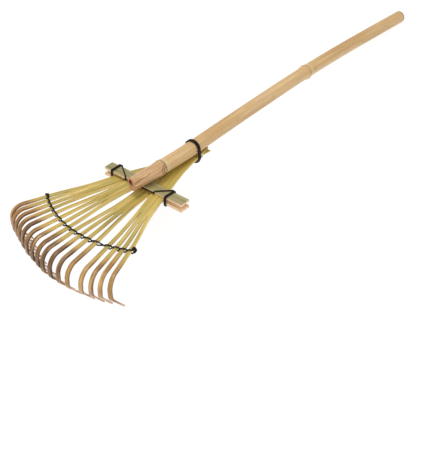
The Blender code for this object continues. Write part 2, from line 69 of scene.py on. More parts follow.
# Handle.
NEAR_Y = -22 * MM
FAR_Y = 804 * MM
AXIS_Z = 20.5 * MM
CULM_RADIUS = 12.5 * MM
CULM_BOW = (
    (-22, 6.5), (43, 9), (120, 9.5), (200, 6.5), (330, 2.7), (465, 0), (600, 1.8), (806, 10)
)
NODE_Y = (44 * MM, 467 * MM)
NODE_SWELL = (0.6, 1.0)
NODE_REACH = 20 * MM
NODE_SHAPE = (
    (-20, 0.0), (-11, 0.4), (-4, 1.25), (-0.6, 1.95), (0.5, 2.05), (1.3, 1.2), (5, 0.8), (14, 0.0)
)
RIDGE_TO_RING = 1.4 * MM
BUD_ANGLE = math.radians(12)
HOLLOW_RADIUS = 3.8 * MM
HOLLOW_OFFSET = (-3 * MM, 2.5 * MM)
NEAR_HOLLOW_DEPTH = 58 * MM
FAR_HOLLOW_DEPTH = 300 * MM
NEAR_TAPER = 1.3 * MM
NEAR_TAPER_LENGTH = 48 * MM
NEAR_SLANT = 0.22
NEAR_SLANT_LENGTH = 20 * MM
CRACK_ANGLE = math.radians(-50)
CRACK_DEPTH = 3.0  # millimetres, like the roughness of the cut face

# Blades.
THICKNESS = 2.8 * MM
PITCH_Z = THICKNESS + FIT_GAP + 0.05 * MM
NECK_Y = 130 * MM
BLADE_END_Y = (136 * MM, 157 * MM, 139 * MM, 159 * MM)
NECK_X = (6 * MM, 8.5 * MM, 10 * MM, 11.5 * MM)
NECK_SLOPE = (0.28, 0.15, 0.0, -0.19)
BAR_X = (-39.8 * MM, -12.4 * MM, 13.2 * MM, 41 * MM)
BLADE_ANGLE = tuple(math.radians(a) for a in (-17.5, -7.5, 5.0, 18.0))
NECK_LAYER = (3, 1, 2, 0)
BAR_LEVEL = (-1, 1, -1, 1)
NECK_WIDTH = 20 * MM
BAR_WIDTH = 25.4 * MM
SPLIT_WIDTH = 26.6 * MM
SPLIT_Y = -30 * MM
CROWN = 0.35 * MM
GRAIN_SHIFT = 0.1  # between the grain of one blade and the next
STACKED_Y = 82 * MM
BAR_BACK_Y = 23.5 * MM

# Tines.
TINES = 4  # in each blade
TINE_X = (-91, -82, -72, -61.5, -49.5, -36, -22.5, -8.5, 4, 18.5, 33, 48, 68, 80, 90, 100)
ARC_X = 15.5 * MM
ARC_Y = -148 * MM
ARC_BEND = 3.1
OUTER_ANGLE = math.radians(19.5)
TINE_WIDTH = 6.5 * MM
TIP_WIDTH = 5.4 * MM
TINE_CROWN = 0.55 * CROWN
TINE_RUN = 0.118  # the grain's length from the split to the spreader wire
WAIST = 0.08  # how much narrower a tine is halfway to the wire
HOOK_THICKER = 1.3  # how much thicker the bent ends were left
SLIT_START = ((0.22, 0.12, 0.25), (0.24, 0.15, 0.2), (0.24, 0.36, 0.28), (0.15, 0.38, 0.14))
FIRST_REACH = 60.5 * MM
LAST_REACH = 73 * MM
BEND_RADIUS = 20 * MM
FIRST_LEG = 11 * MM
LAST_LEG = 8 * MM
TOE_RADIUS = 14 * MM
TOE_TURN = math.radians(40)
FOOT_LENGTH = 42 * MM
LAST_TINE_SPLAY = 7 * MM

# How darkly each hook was browned over the fire, from 0 to 1.
TINE_TONE = (0.5, 0.4, 0.55, 0.6, 0.9, 0.7, 0.95, 0.75, 0.9, 0.8, 0.85, 0.45, 0.3, 0.5, 0.35, 0.4)

# Slats and wires.
SLAT_LENGTH = 163 * MM
SLAT_WIDTH = 20 * MM
SLAT_THICKNESS = 4.5 * MM
SLAT_CENTRE = Vector((7.5, 10.5, 0)) * MM
SLAT_YAW = math.radians(1.5)
BAR_HALF_GAP = PITCH_Z / 2 + THICKNESS / 2 + FIT_GAP
BAR_TOP_Z = BAR_HALF_GAP + SLAT_THICKNESS
TIE_RADIUS = 1.1 * MM
SPREADER_RADIUS = 1.05 * MM
TURN_PITCH = 2 * TIE_RADIUS + FIT_GAP
RING_Y = 124.5 * MM
RING_TURNS = 3
WRAP_TURNS = 3
LEFT_WRAP_X = -59 * MM
RIGHT_WRAP_X = 60 * MM
LEFT_DIVE_X = -26 * MM
RIGHT_DIVE_X = 33 * MM
FRONT_RUN_Z = 5.6 * MM
STRAND_SWING = 1.2 * MM
STRAND_RADIUS = 1.15 * MM
STRAND_SLACK = 0.9 * MM

# The camera in the plane of the fan.
CAMERA_PLACE = Vector((842.95, -887.59, 879.55)) * MM
CAMERA_RIGHT = Vector((0.77632, 0.62941, 0.03432))
CAMERA_AHEAD = Vector((-0.47517, 0.62012, -0.62424))
CAMERA_LENS = 77.58

# Light: (name, place, target, size, watts).
LIGHTS = (
    ("key", (-0.45, -0.1, 2.5), (0, -0.1, 0), 1.3, 27),
    ("fill", (1.0, -2.0, 1.1), (0, -0.2, 0), 1.6, 13),
)
WORLD_STRENGTH = 0.68
FLOOR_DROP = 0.3 * MM
FLOOR_SIZE = 30
FLOOR_GREY = 0.2
FLOOR_GLOW = 0.87

# Fineness of the meshes.
LANES = 4  # cells across one tine
WHOLE_STEPS = 34
SPLIT_STEPS = 26
HOOK_STEPS = (14, 6, 7)
SLAT_STEPS = 44
SLAT_LANES = 10
CULM_SIDES = 72
WIRE_SIDES = 10
DISC_SIDES = 48
TAIL_STEPS = 26
EYE_STEPS = 32

UP = Vector((0, 0, 1))


def ease(t):
    """0 before t is 0, 1 after t is 1, and smooth in between."""
    t = min(max(t, 0), 1)
    return t * t * (3 - 2 * t)


def hermite(a, b, slope_a, slope_b, t):
    """The cubic that goes from a to b, with these slopes at its ends."""
    return (
        (2 * t**3 - 3 * t**2 + 1) * a
        + (t**3 - 2 * t**2 + t) * slope_a
        + (3 * t**2 - 2 * t**3) * b
        + (t**3 - t**2) * slope_b
    )


def through(points, at):
    """The height at one place of a smooth curve through (place, height) points."""
    for i in range(len(points) - 1):
        if at <= points[i + 1][0] or i == len(points) - 2:
            break
    (x0, y0), (x1, y1) = points[i], points[i + 1]
    before = points[max(i - 1, 0)]
    after = points[min(i + 2, len(points) - 1)]
    slope_0 = (y1 - before[1]) / (x1 - before[0])
    slope_1 = (after[1] - y0) / (after[0] - x0)
    t = min(max((at - x0) / (x1 - x0), 0), 1)
    return hermite(y0, y1, slope_0 * (x1 - x0), slope_1 * (x1 - x0), t)


def bump_at(distance, width):
    """A smooth bump, 1 high where distance is 0."""
    return math.exp(-((distance / width) ** 2))


def wave(seed, t):
    """Smooth repeatable noise between about -1 and 1."""
    return noise.noise(Vector((t, seed * 7.31, seed * 3.17)))


# ---- shared shapes of the fan


def culm_x(y):
    return through([(py * MM, px * MM) for py, px in CULM_BOW], y)


def blade_centre(blade, y):
    """The middle of a blade behind the split, across the fan."""
    slope = -math.tan(BLADE_ANGLE[blade])
    if y <= 0:
        return BAR_X[blade] + slope * y
    if y >= NECK_Y:
        return NECK_X[blade] + NECK_SLOPE[blade] * (y - NECK_Y)
    return hermite(
        BAR_X[blade], NECK_X[blade], slope * NECK_Y, NECK_SLOPE[blade] * NECK_Y, y / NECK_Y
    )


def blade_width(y):
    if y >= 0:
        return BAR_WIDTH + (NECK_WIDTH - BAR_WIDTH) * y / NECK_Y
    return BAR_WIDTH + (SPLIT_WIDTH - BAR_WIDTH) * y / SPLIT_Y


def neck_z(blade):
    top = AXIS_Z - CULM_RADIUS - FIT_GAP - THICKNESS / 2
    return top - NECK_LAYER[blade] * PITCH_Z


def bar_z(blade):
    return BAR_LEVEL[blade] * PITCH_Z / 2


def blade_z(blade, y):
    t = ease((y - BAR_BACK_Y) / (STACKED_Y - BAR_BACK_Y))
    return bar_z(blade) + (neck_z(blade) - bar_z(blade)) * t


def mid_crown(spread):
    """How far a blade's face stands above its mean height; spread runs from -1 to 1."""
    return CROWN * 0.5 * (1 - spread * spread) - CROWN * 0.25


def wire_y(x):
    return ARC_Y + ARC_BEND * (x - ARC_X) ** 2


def tine_angle(tine):
    return OUTER_ANGLE * (2 * tine / (len(TINE_X) - 1) - 1)


def tine_crossing(tine):
    x = TINE_X[tine] * MM
    return Vector((x, wire_y(x), 0))


def tine_axes(tine):
    """(ahead, across) of a tine in the plane of the fan."""
    angle = tine_angle(tine)
    ahead = Vector((math.sin(angle), -math.cos(angle), 0))
    return ahead, Vector((math.cos(angle), math.sin(angle), 0))


def tine_splay(tine):
    """How far a tine's tip stands out sideways: only the last one does."""
    return LAST_TINE_SPLAY if tine == len(TINE_X) - 1 else 0


def tip_foot(tine):
    """The point that the CAD part rests on at a tine's tip."""
    ahead, across = tine_axes(tine)
    past, height = hook_rows(tine, 1, 1, 1)[-1][:2]
    tip = tine_crossing(tine) + ahead * past + UP * height + across * tine_splay(tine)
    return tip - Vector((0, math.cos(TOE_TURN), math.sin(TOE_TURN))) * THICKNESS / 2


def slat_middle(side):
    """The middle of the upper slat (side 1) or the lower one (side -1)."""
    return SLAT_CENTRE + UP * side * (BAR_HALF_GAP + SLAT_THICKNESS / 2)


def fan_matrix():
    """From the plane of the fan to the frame, placed by the upper slat."""
    far = Vector((culm_x(FAR_Y), FAR_Y, AXIS_Z - CULM_RADIUS))
    first = tip_foot(0)
    last = tip_foot(len(TINE_X) - 1)
    up = (last - first).cross(far - first)
    turn = up.rotation_difference(UP).to_matrix().to_4x4()
    low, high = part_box("upper_slat")
    return Matrix.Translation((low + high) / 2 - turn @ slat_middle(1)) @ turn


def hook_rows(tine, bend_steps, toe_steps, foot_steps):
    """(distance past the wire, height, width, turn) down a tine to its tip."""
    later = ease((tine - 4) / 9)
    reach = FIRST_REACH + (LAST_REACH - FIRST_REACH) * later
    leg = FIRST_LEG + (LAST_LEG - FIRST_LEG) * later
    start = reach - BEND_RADIUS
    straight = max(bend_steps // 2, 2)
    rows = [(start * i / straight, 0, TINE_WIDTH, 0) for i in range(1, straight + 1)]
    for i in range(1, bend_steps + 1):
        turn = math.pi / 2 * i / bend_steps
        height = -BEND_RADIUS * (1 - math.cos(turn))
        rows.append((start + BEND_RADIUS * math.sin(turn), height, TINE_WIDTH, turn))
    leg_end = -BEND_RADIUS - leg
    rows.append((reach, -BEND_RADIUS - leg / 2, TINE_WIDTH, math.pi / 2))
    for i in range(toe_steps + 1):
        turn = TOE_TURN * i / toe_steps
        past = reach - TOE_RADIUS * (1 - math.cos(turn))
        height = leg_end - TOE_RADIUS * math.sin(turn)
        rows.append((past, height, TINE_WIDTH, math.pi / 2 + turn))
    past, height = rows[-1][:2]
    for i in range(1, foot_steps + 1):
        run = FOOT_LENGTH * i / foot_steps
        width = TINE_WIDTH + (TIP_WIDTH - TINE_WIDTH) * i / foot_steps
        place = (past - run * math.sin(TOE_TURN), height - run * math.cos(TOE_TURN))
        rows.append((*place, width, math.pi / 2 + TOE_TURN))
    return rows


# ---- making objects


def add_object(name, data):
    obj = bpy.data.objects.new(name, data)
    bpy.context.scene.collection.objects.link(obj)
    return obj


def add_piece(name, mesh, materials, node):
    obj = add_object(name, mesh)
    for material in materials:
        obj.data.materials.append(material)
    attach(obj, "root")
    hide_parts(node)
    return obj


def finish_mesh(bm, name, place):
    """The smooth mesh of bm, moved by the matrix place."""
    mesh = bpy.data.meshes.new(name)
    bm.to_mesh(mesh)
    bm.free()
    mesh.transform(place)
    mesh.shade_smooth()
    return mesh


def soften(obj, width):
    """Rounded edges with flat faces between them."""
    bevel = obj.modifiers.new("edges", "BEVEL")
    bevel.width = width
    bevel.segments = 2
    bevel.limit_method = "ANGLE"
    bevel.angle_limit = math.radians(40)
    bevel.miter_outer = "MITER_ARC"
    normals = obj.modifiers.new("normals", "WEIGHTED_NORMAL")
    normals.keep_sharp = True
    normals.weight = 60


def strip_object(name, rows, gaps, thickness, edge, materials, node):
    """A split strip of bamboo from rows of points across it.

    Each row is (points, along), where a point is (place, across, heat, tone). Heat runs
    from 0 over 1, browned, to 2, a worn tip, and the browned part is left thicker. A cell
    is left open where gaps(row, column) says so. The upper side takes the first material,
    the lower side the second and the cut edges the third.
    """
    bm = bmesh.new()
    grain = bm.loops.layers.uv.new("grain")
    burn = bm.loops.layers.uv.new("burn")
    grid = [[bm.verts.new(point[0]) for point in row[0]] for row in rows]
    for r in range(len(rows) - 1):
        for c in range(len(rows[0][0]) - 1):
            if gaps(r, c):
                continue
            corners = ((r, c), (r + 1, c), (r + 1, c + 1), (r, c + 1))
            face = bm.faces.new([grid[i][j] for i, j in corners])
            for loop, (i, j) in zip(face.loops, corners):
                points, along = rows[i]
                loop[grain].uv = (along, points[j][1])
                loop[burn].uv = points[j][2:]
    obj = add_piece(name, finish_mesh(bm, name, FAN), materials, node)
    heavy = obj.vertex_groups.new(name="heavy")
    heats = [point[2] for points, _ in rows for point in points]
    for i, heat in enumerate(heats):
        heavy.add([i], min(heat * 1.5, 1, 2 - heat), "REPLACE")
    thick = obj.modifiers.new("thickness", "SOLIDIFY")
    thick.thickness = thickness * HOOK_THICKER
    thick.vertex_group = "heavy"
    thick.thickness_vertex_group = 1 / HOOK_THICKER
    thick.offset = 0
    thick.use_even_offset = True
    thick.material_offset = 1
    thick.material_offset_rim = 2
    soften(obj, edge)


# ---- blades


def tine_row(blade, j, t):
    """(centre, half width vector) of tine j at t from the split to the wire."""
    tine = blade * TINES + j
    pitch = SPLIT_WIDTH / TINES
    start = Vector((blade_centre(blade, SPLIT_Y) + (j - 1.5) * pitch, SPLIT_Y, bar_z(blade)))
    end = tine_crossing(tine)
    length = (end - start).length
    widening = (j - 1.5) * (SPLIT_WIDTH - BAR_WIDTH) / TINES / SPLIT_Y
    first = Vector((math.tan(BLADE_ANGLE[blade]) - widening, -1, 0)).normalized() * length
    ahead, _ = tine_axes(tine)
    centre = hermite(start, end, first, ahead * length, t)
    half_width = (pitch + (TINE_WIDTH - pitch) * t) / 2
    half_width -= 0.05 * MM * min(t / 0.1, 1)
    half_width *= 1 - WAIST * math.sin(math.pi * t) ** 0.7
    turned = tine_angle(tine) * ease(t)
    return centre, Vector((math.cos(turned), math.sin(turned), 0)) * half_width


def crowned(centre, half, up, crown, share):
    """A point across a tine: share runs from -1 to 1, and crown lifts its middle."""
    return centre + half * share + up * crown * (1 - share * share)


def spread_at(j, k):
    """Where lane k of tine j stands across its blade, from -1 to 1."""
    return (j * 2 * LANES + 2 * k) / (TINES * LANES) - 1


def whole_row(blade, y, ragged):
    """The points across a blade where it is still one strip."""
    end_y = BLADE_END_Y[blade]
    drift = 0.35 * MM * wave(blade + 1, y * 18) * min((end_y - y) / 0.02 + 0.2, 1)
    points = []
    for j in range(TINES):
        for k in range(LANES + 1):
            share = spread_at(j, k)
            cut = ragged * wave(blade + 9, share * 4)
            x = blade_centre(blade, y) + drift * (1 - abs(share) * 0.2)
            place = Vector((x, y + cut, blade_z(blade, y)))
            half = share * blade_width(y) / 2
            place.x += half
            place.z += mid_crown(share)
            tone = TINE_TONE[blade * TINES + j]
            points.append((place, half + blade * GRAIN_SHIFT, 0, tone))
    return points


def split_row(blade, t):
    """The points across a blade's four tines at t from the split to the wire."""
    points = []
    for j in range(TINES):
        tine = blade * TINES + j
        centre, half = tine_row(blade, j, t)
        sway = 0.5 * MM * wave(tine + 20, t * 3.2) * math.sin(math.pi * t)
        centre = centre + Vector((sway, 0, 0))
        for k in range(LANES + 1):
            share = 2 * k / LANES - 1
            point = crowned(centre, half, UP, TINE_CROWN * t, share)
            point += UP * mid_crown(spread_at(j, k)) * (1 - t)
            across = share * half.length + tine_across(blade, j)
            points.append((point, across, 0, TINE_TONE[tine]))
    return points


def tine_across(blade, j):
    """Where the middle of a tine lies across the grain."""
    return (j - 1.5) * TINE_WIDTH + blade * GRAIN_SHIFT


def build_blade(blade, materials):
    """One strip, whole at the crossbar, slit into four tines and hooked at their ends."""
    rows = []
    end_y = BLADE_END_Y[blade]
    for i in range(WHOLE_STEPS + 1):
        y = end_y + (SPLIT_Y - end_y) * i / WHOLE_STEPS
        rows.append((whole_row(blade, y, 0 if i else 0.5 * MM), end_y - y))
    whole = len(rows) - 1
    for i in range(1, SPLIT_STEPS + 1):
        t = i / SPLIT_STEPS
        rows.append((split_row(blade, t), end_y - SPLIT_Y + TINE_RUN * t))
    hooks = [hook_points(blade * TINES + j, tine_across(blade, j)) for j in range(TINES)]
    for parts in zip(*hooks):
        points = [p for part in parts for p in part[0]]
        rows.append((points, end_y - SPLIT_Y + TINE_RUN + parts[0][1]))

    def gaps(r, c):
        slit, lane = divmod(c, LANES + 1)
        return lane == LANES and r >= whole + SLIT_START[blade][slit] * SPLIT_STEPS

    merge_slits(rows, whole, blade)
    node = f"blade_{blade + 1}"
    strip_object(f"bamboo_{node}", rows, gaps, THICKNESS - 0.1 * MM, 0.32 * MM, materials, node)


def merge_slits(rows, whole, blade):
    """Above a slit's root, its two sides are drawn together to a hair's breadth."""
    for r, (points, _) in enumerate(rows):
        for gap in range(TINES - 1):
            left = (gap + 1) * (LANES + 1) - 1
            root = whole + SLIT_START[blade][gap] * SPLIT_STEPS
            a, b = points[left][0], points[left + 1][0]
            if r <= root:
                middle = (a + b) / 2
                side = (b - a).normalized() if (b - a).length > 1e-7 else Vector((1, 0, 0))
                for column, step in ((left, -1), (left + 1, 1)):
                    points[column] = (middle + side * step * 0.09 * MM, *points[column][1:])


def hook_points(tine, across_base):
    """A tine's rows from the wire to its tip: (points, run)."""
    ahead, across = tine_axes(tine)
    base = tine_crossing(tine)
    splay = tine_splay(tine)
    profile = hook_rows(tine, *HOOK_STEPS)
    lowest = profile[-1][1]
    lean = 1.6 * MM * wave(tine + 40, 0.37)
    longer = 1 + 0.05 * wave(tine + 60, 0.61)
    rows = []
    run = 0
    before = Vector((0, 0))
    for past, height, width, turn in profile:
        now = Vector((past, height))
        run += (now - before).length
        before = now
        down = height / lowest
        centre = base + ahead * (past * (1 + (longer - 1) * 0.4)) + UP * height
        centre += across * (splay * down**2 + lean * down * (run / 0.12))
        up = ahead * math.sin(turn) + UP * math.cos(turn)
        width *= 1 + 0.05 * wave(tine + 80, run * 25)
        twist = 0.10 * wave(tine + 30, 0.9) * min(run / 0.09, 1)
        half = (across * math.cos(twist) + up * math.sin(twist)) * width / 2
        heat = ease((run - 0.008 - 0.014 * wave(tine + 11, 0.5)) / 0.036)
        heat += ease((run - 0.086 - 0.012 * wave(tine + 17, 0.5)) / 0.034)
        points = []
        for k in range(LANES + 1):
            share = 2 * k / LANES - 1
            place = crowned(centre, half, up, TINE_CROWN, share)
            points.append((place, share * width / 2 + across_base, heat, TINE_TONE[tine]))
        rows.append((points, run))
    return rows


# ---- slats


def build_slat(name, side, materials, node):
    """A flat split of thick bamboo; the upper one lies skin up and the lower one skin down."""
    rows = []
    turn = Matrix.Rotation(SLAT_YAW, 3, "Z")
    middle = slat_middle(side)
    for i in range(SLAT_STEPS + 1):
        x = (i / SLAT_STEPS - 0.5) * SLAT_LENGTH
        half = SLAT_WIDTH / 2 * (1 + 0.012 * wave(side + 5, x * 30)) - 0.15 * MM
        points = []
        for k in range(SLAT_LANES + 1):
            share = 2 * k / SLAT_LANES - 1
            lift = 0.3 * MM * (0.5 - share * share) + 0.1 * MM * wave(side + 12, x * 22)
            saw = 0.25 * MM * wave(side + 30, share * 5 + i) if i in (0, SLAT_STEPS) else 0
            place = Vector((x + saw, share * half, side * min(lift, 0.1 * MM)))
            points.append((middle + turn @ place, share * half, 0, 0.5))
        rows.append((points, x + 0.4 + side))
    thickness = SLAT_THICKNESS - 0.2 * MM
    strip_object(name, rows, lambda r, c: False, thickness, 0.55 * MM, materials, node)


# ---- culm


def culm_angle(i):
    """The angle of a point round the culm; the first one is underneath."""
    return math.tau * i / CULM_SIDES - math.pi / 2


def culm_ring(y):
    """(points round the culm at y, place of its axis, direction to its side)."""
    taper = NEAR_TAPER * ease(1 - (y - NEAR_Y) / NEAR_TAPER_LENGTH)
    slanted = ease(1 - (y - NEAR_Y) / NEAR_SLANT_LENGTH)
    centre = Vector((culm_x(y), y, AXIS_Z + 0.5 * taper))
    slope = (culm_x(y + MM) - culm_x(y - MM)) / (2 * MM)
    side = Vector((1, -slope, 0)).normalized()
    swell = 0
    for node, share in zip(NODE_Y, NODE_SWELL):
        if abs(y - node) <= NODE_REACH:
            shape = [(node + a * MM, b * MM) for a, b in NODE_SHAPE]
            swell += share * max(0, through(shape, y))
    ring = []
    for i in range(CULM_SIDES):
        a = culm_angle(i)
        around = Vector((math.cos(a), math.sin(a), 0))
        radius = CULM_RADIUS - 0.12 * MM - taper
        radius += 0.10 * MM * noise.noise(Vector((around.x, around.y, y * 14)))
        radius += 0.02 * MM * noise.noise(Vector((around.x * 14, around.y * 14, y * 3)))
        for node in NODE_Y:
            radius -= 0.35 * MM * bump_at((y - node) / MM - 2.6, 1.0)
        before = (y - NODE_Y[0] - RIDGE_TO_RING) / MM
        if before < 0:
            scar = math.hypot(before / 9, math.remainder(a - BUD_ANGLE, math.tau) / 0.6)
            radius += 0.3 * MM * math.exp(-(scar**4)) - 0.2 * MM * bump_at(scar - 1.1, 0.15)
        slant = -NEAR_SLANT * around.x * radius * slanted
        out = side * around.x + UP * around.y
        ring.append(centre + out * (radius + swell) + Vector((0, slant, 0)))
    return ring, centre, side


def culm_stations():
    """Where the culm's rings stand along it, closer together round the nodes."""
    stations = []
    y = NEAR_Y
    while y < FAR_Y:
        stations.append(y)
        away = min(abs(y - node) for node in NODE_Y)
        y += (0.5 if away < 7 * MM else 1.5 if away < 24 * MM else 4) * MM
    stations.append(FAR_Y)
    return stations


def add_band(bm, a, b, slot, uv_at):
    """Faces between two rings; uv_at(i, end) gives the UV of point i on ring 0 or 1."""
    grain = bm.loops.layers.uv["grain"]
    for i in range(CULM_SIDES):
        k = (i + 1) % CULM_SIDES
        face = bm.faces.new((a[i], a[k], b[k], b[i]))
        face.material_index = slot
        for loop, corner in zip(face.loops, ((i, 0), (i + 1, 0), (i + 1, 1), (i, 1))):
            loop[grain].uv = uv_at(*corner)


def add_tube(bm, a, b, along, radius, slot):
    """A band whose UV is (along, round), in metres."""
    step = math.tau / CULM_SIDES
    add_band(bm, a, b, slot, lambda i, end: (along[end], i * step * radius))


def add_culm_end(bm, ring, y, inward, depth, slant):
    """The sawn face of one end, from its rim to the hollow, and the hollow behind it."""
    _, centre, side = culm_ring(y)
    hollow = centre + side * HOLLOW_OFFSET[0] + UP * HOLLOW_OFFSET[1]
    hollow.y -= slant * HOLLOW_OFFSET[0]
    rim = [v.co.copy() for v in ring]
    rounds = [ring]
    for share in (0.965, 0.93, 0.82, 0.7, 0.58, 0.46, 0.34, 0.22, 0.1, 0.03, 0.0):
        loop = []
        for i in range(CULM_SIDES):
            a = culm_angle(i)
            rough = noise.noise(Vector((math.cos(a) * 1.5, math.sin(a) * 1.5, y * 9)))
            radius = HOLLOW_RADIUS * (1 + 0.12 * rough)
            mouth = hollow + (side * math.cos(a) + UP * math.sin(a)) * radius
            mouth.y -= slant * math.cos(a) * HOLLOW_RADIUS
            point = mouth + (rim[i] - mouth) * share
            if share > 0.95:
                back = 0.12
            elif share < 0.05:
                back = 0.3
            else:
                back = abs(0.12 * noise.noise(point * 900))
            cracked = math.exp(-(math.remainder(a - CRACK_ANGLE, math.tau) ** 4))
            back += CRACK_DEPTH * cracked * bump_at(share - 0.28, 0.1)
            loop.append(bm.verts.new(point + Vector((0, inward * back * MM, 0))))
        rounds.append(loop)
    for v in ring:
        v.co.y += inward * 0.45 * MM
    for a, b in zip(rounds, rounds[1:]):
        offsets = [[v.co - hollow for v in (*r, r[0])] for r in (a, b)]
        uvs = [[(o.dot(side), o.dot(UP)) for o in ends] for ends in offsets]
        add_band(bm, a, b, 1, lambda i, end, uvs=uvs: uvs[end][i])
    inner = rounds[-1]
    mouth = [v.co.copy() for v in inner]
    for step in range(1, 7):
        y_in = y + inward * depth * step / 6
        shift = Vector((culm_x(y_in) - culm_x(y), y_in - y, 0))
        deeper = [bm.verts.new(place + shift) for place in mouth]
        add_tube(bm, inner, deeper, (inner[0].co.y, deeper[0].co.y), HOLLOW_RADIUS, 2)
        inner = deeper
    bm.faces.new(inner).material_index = 2


def build_culm(materials):
    """The bamboo culm with its nodes, and a hollow open at both cut ends."""
    bm = bmesh.new()
    bm.loops.layers.uv.new("grain")
    stations = culm_stations()
    rings = [[bm.verts.new(p) for p in culm_ring(y)[0]] for y in stations]
    for a, b, along in zip(rings, rings[1:], zip(stations, stations[1:])):
        add_tube(bm, a, b, along, CULM_RADIUS, 0)
    add_culm_end(bm, rings[0], NEAR_Y, 1, NEAR_HOLLOW_DEPTH, NEAR_SLANT)
    add_culm_end(bm, rings[-1], FAR_Y, -1, FAR_HOLLOW_DEPTH, 0)
    bmesh.ops.recalc_face_normals(bm, faces=bm.faces)
    add_piece("bamboo_culm", finish_mesh(bm, "bamboo_culm", FAN), materials, "handle")


# ---- wires


def smooth_path(points, steps):
    """A Catmull-Rom curve through the points."""
    path = []
    for i in range(len(points) - 1):
        p0 = points[max(i - 1, 0)]
        p1, p2 = points[i], points[i + 1]
        p3 = points[min(i + 2, len(points) - 1)]
        for s in range(steps):
            t = s / steps
            squared = (2 * p0 - 5 * p1 + 4 * p2 - p3) * t**2
            cubed = (3 * p1 - p0 - 3 * p2 + p3) * t**3
            path.append(0.5 * (2 * p1 + (p2 - p0) * t + squared + cubed))
    path.append(points[-1])
    return path


def wire_object(name, points, radius, steps, material, node):
    """A round wire along the points, with its path smoothed, as one closed tube."""
    path = [FAN @ p for p in smooth_path(points, steps)]
    bm = bmesh.new()
    grain = bm.loops.layers.uv.new("grain")
    normal = UP
    rings = []
    run = 0
    for i, point in enumerate(path):
        before = path[max(i - 1, 0)]
        after = path[min(i + 1, len(path) - 1)]
        tangent = (after - before).normalized()
        normal = (normal - tangent * normal.dot(tangent)).normalized()
        other = tangent.cross(normal)
        run += (point - before).length
        ring = []
        for k in range(WIRE_SIDES):
            a = math.tau * k / WIRE_SIDES
            out = normal * math.cos(a) + other * math.sin(a)
            ring.append(bm.verts.new(point + out * radius))
        rings.append((ring, run))
    step = math.tau * radius / WIRE_SIDES
    for (a, run_a), (b, run_b) in zip(rings, rings[1:]):
        for k in range(WIRE_SIDES):
            n = (k + 1) % WIRE_SIDES
            face = bm.faces.new((a[k], a[n], b[n], b[k]))
            uvs = ((run_a, k), (run_a, k + 1), (run_b, k + 1), (run_b, k))
            for loop, (along, place) in zip(face.loops, uvs):
                loop[grain].uv = (along, place * step)
    bm.faces.new(rings[0][0])
    bm.faces.new(rings[-1][0])
    bmesh.ops.recalc_face_normals(bm, faces=bm.faces)
    add_piece(name, finish_mesh(bm, name, Matrix()), [material], node)


def convex_outline(points):
    """The points of the convex hull, anticlockwise."""
    points = sorted(set(points))
    halves = []
    for ordered in (points, points[::-1]):
        half = []
        for p in ordered:
            while len(half) > 1:
                (ax, ay), (bx, by) = half[-2], half[-1]
                if (bx - ax) * (p[1] - ay) - (by - ay) * (p[0] - ax) > 0:
                    break
                half.pop()
            half.append(p)
        halves.append(half[:-1])
    return halves[0] + halves[1]


def taut_loop(discs, spacing):
    """A wire pulled tight around discs (x, z, radius): its points, anticlockwise."""
    corners = []
    for x, z, radius in discs:
        for i in range(DISC_SIDES):
            a = math.tau * i / DISC_SIDES
            corners.append((x + radius * math.cos(a), z + radius * math.sin(a)))
    hull = convex_outline(corners)
    loop = []
    for i, (x0, z0) in enumerate(hull):
        x1, z1 = hull[(i + 1) % len(hull)]
        if loop and math.dist(loop[-1], (x0, z0)) < spacing * 0.6:
            continue
        loop.append((x0, z0))
        steps = int(math.dist((x0, z0), (x1, z1)) / (2 * spacing))
        loop += [
            (x0 + (x1 - x0) * s / (steps + 1), z0 + (z1 - z0) * s / (steps + 1))
            for s in range(1, steps + 1)
        ]
    return loop


def starting_at(loop, x, z):
    """The loop turned so that it starts at its point nearest to (x, z)."""
    nearest = min(range(len(loop)), key=lambda i: math.dist(loop[i], (x, z)))
    return loop[nearest:] + loop[:nearest]


def build_neck_ring(material):
    """Turns of wire round the handle and the stack of blades."""
    away = TIE_RADIUS + FIT_GAP
    axis_x = culm_x(RING_Y)
    discs = [(axis_x, AXIS_Z, CULM_RADIUS + away + 0.1 * MM)]
    for blade in range(4):
        centre = blade_centre(blade, RING_Y)
        half = blade_width(RING_Y) / 2 + 0.8 * MM
        for side in (-1, 1):
            for face in (-1, 1):
                discs.append((centre + side * half, neck_z(blade) + face * THICKNESS / 2, away))
    loop = starting_at(taut_loop(discs, 1.5 * MM), axis_x, -20 * MM)
    points = []
    for i in range(len(loop) * RING_TURNS):
        x, z = loop[i % len(loop)]
        lean = 0.9 * MM * math.sin(math.tau * i / len(loop) + 1)
        y = RING_Y + (2 * TIE_RADIUS + 0.05 * MM) * (i / len(loop) - RING_TURNS / 2) + lean
        points.append(Vector((x, y, z)))
    wire_object("neck_ring_wire", points, TIE_RADIUS, 2, material, "neck_ring")


def slat_edge_y(x, side):
    """Where the slats' back (side 1) or front (side -1) edge is at x."""
    return SLAT_CENTRE.y + (x - SLAT_CENTRE.x) * math.tan(SLAT_YAW) + side * SLAT_WIDTH / 2


def wrap_points(x, turn_step):
    """Turns of wire round both slats from their underside, along X, to their back top edge."""
    away = TIE_RADIUS + 0.12 * MM
    edge = 0.6 * MM
    discs = []
    for side in (-1, 1):
        for face in (-1, 1):
            corner_y = slat_edge_y(x, side) - side * edge
            discs.append((corner_y, face * (BAR_TOP_Z - edge), away + edge))
    corner = (slat_edge_y(x, 1), BAR_TOP_Z + away)
    loop = starting_at(taut_loop(discs, 0.9 * MM), slat_edge_y(x, 0), -BAR_TOP_Z - away)
    leave = min(range(len(loop)), key=lambda i: math.dist(loop[i], corner))
    count = len(loop) * (WRAP_TURNS - 1) + leave + 1
    turns = [i / len(loop) for i in range(count)]
    return [Vector((x + turn_step * t, *loop[i % len(loop)])) for i, t in enumerate(turns)]


